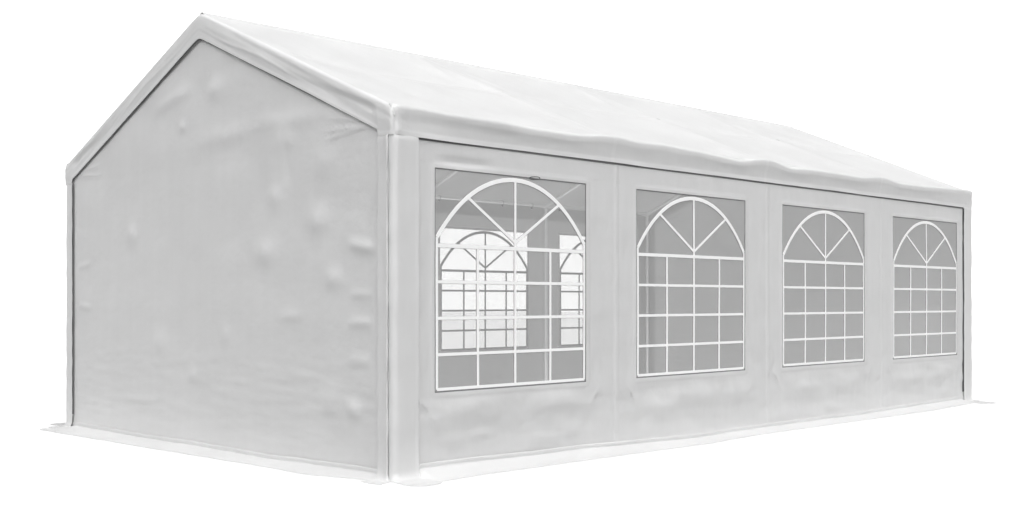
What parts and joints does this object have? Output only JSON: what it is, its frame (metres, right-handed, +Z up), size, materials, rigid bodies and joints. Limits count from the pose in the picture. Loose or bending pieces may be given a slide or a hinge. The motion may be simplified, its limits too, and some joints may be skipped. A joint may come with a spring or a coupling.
{
  "type": "marquee tent",
  "caption": "Gable-roofed marquee tent: a steel tube frame under a white cover, with arched windows along both long walls and cloth flaps on the ground.",
  "frame": {"origin": "on the ground at the middle of the plan", "axes": "+X along the tent towards the right gable, +Y towards the back long wall, +Z up"},
  "size_m": [8.72, 5.08, 3.235],
  "materials": {
    "cover_cloth": "white coated cloth, satin",
    "wall_cloth": "white coated cloth, satin, lightly creased",
    "window_film": "clear soft film",
    "window_bars": "white strips welded on the film",
    "closing_tape": "black hook-and-loop tape",
    "tie_cord": "black elastic cord with a plastic ball",
    "frame_steel": "galvanised"
  },
  "bodies": {
    "root": {"front_post_1": "frame_steel", "front_post_2": "frame_steel", "front_post_3": "frame_steel", "front_post_4": "frame_steel", "front_post_5": "frame_steel", "back_post_1": "frame_steel", "back_post_2": "frame_steel", "back_post_3": "frame_steel", "back_post_4": "frame_steel", "back_post_5": "frame_steel", "front_rafter_1": "frame_steel", "front_rafter_2": "frame_steel", "front_rafter_3": "frame_steel", "front_rafter_4": "frame_steel", "front_rafter_5": "frame_steel", "back_rafter_1": "frame_steel", "back_rafter_2": "frame_steel", "back_rafter_3": "frame_steel", "back_rafter_4": "frame_steel", "back_rafter_5": "frame_steel", "ridge_rail": "frame_steel", "front_eave_rail": "frame_steel", "back_eave_rail": "frame_steel", "roof_cover": "cover_cloth", "left_gable_valance": "cover_cloth", "right_gable_valance": "cover_cloth", "front_left_corner_strip": "cover_cloth", "front_right_corner_strip": "cover_cloth", "back_right_corner_strip": "cover_cloth", "back_left_corner_strip": "cover_cloth", "front_ground_flap": "cover_cloth", "back_ground_flap": "cover_cloth", "left_ground_flap": "cover_cloth", "right_ground_flap": "cover_cloth", "front_wall": "wall_cloth", "back_wall": "wall_cloth", "left_gable_wall": "wall_cloth", "right_gable_wall": "wall_cloth", "front_window_1": "window_film", "front_window_2": "window_film", "front_window_3": "window_film", "front_window_4": "window_film", "back_window_1": "window_film", "back_window_2": "window_film", "back_window_3": "window_film", "back_window_4": "window_film"}
  },
  "joints": []
}
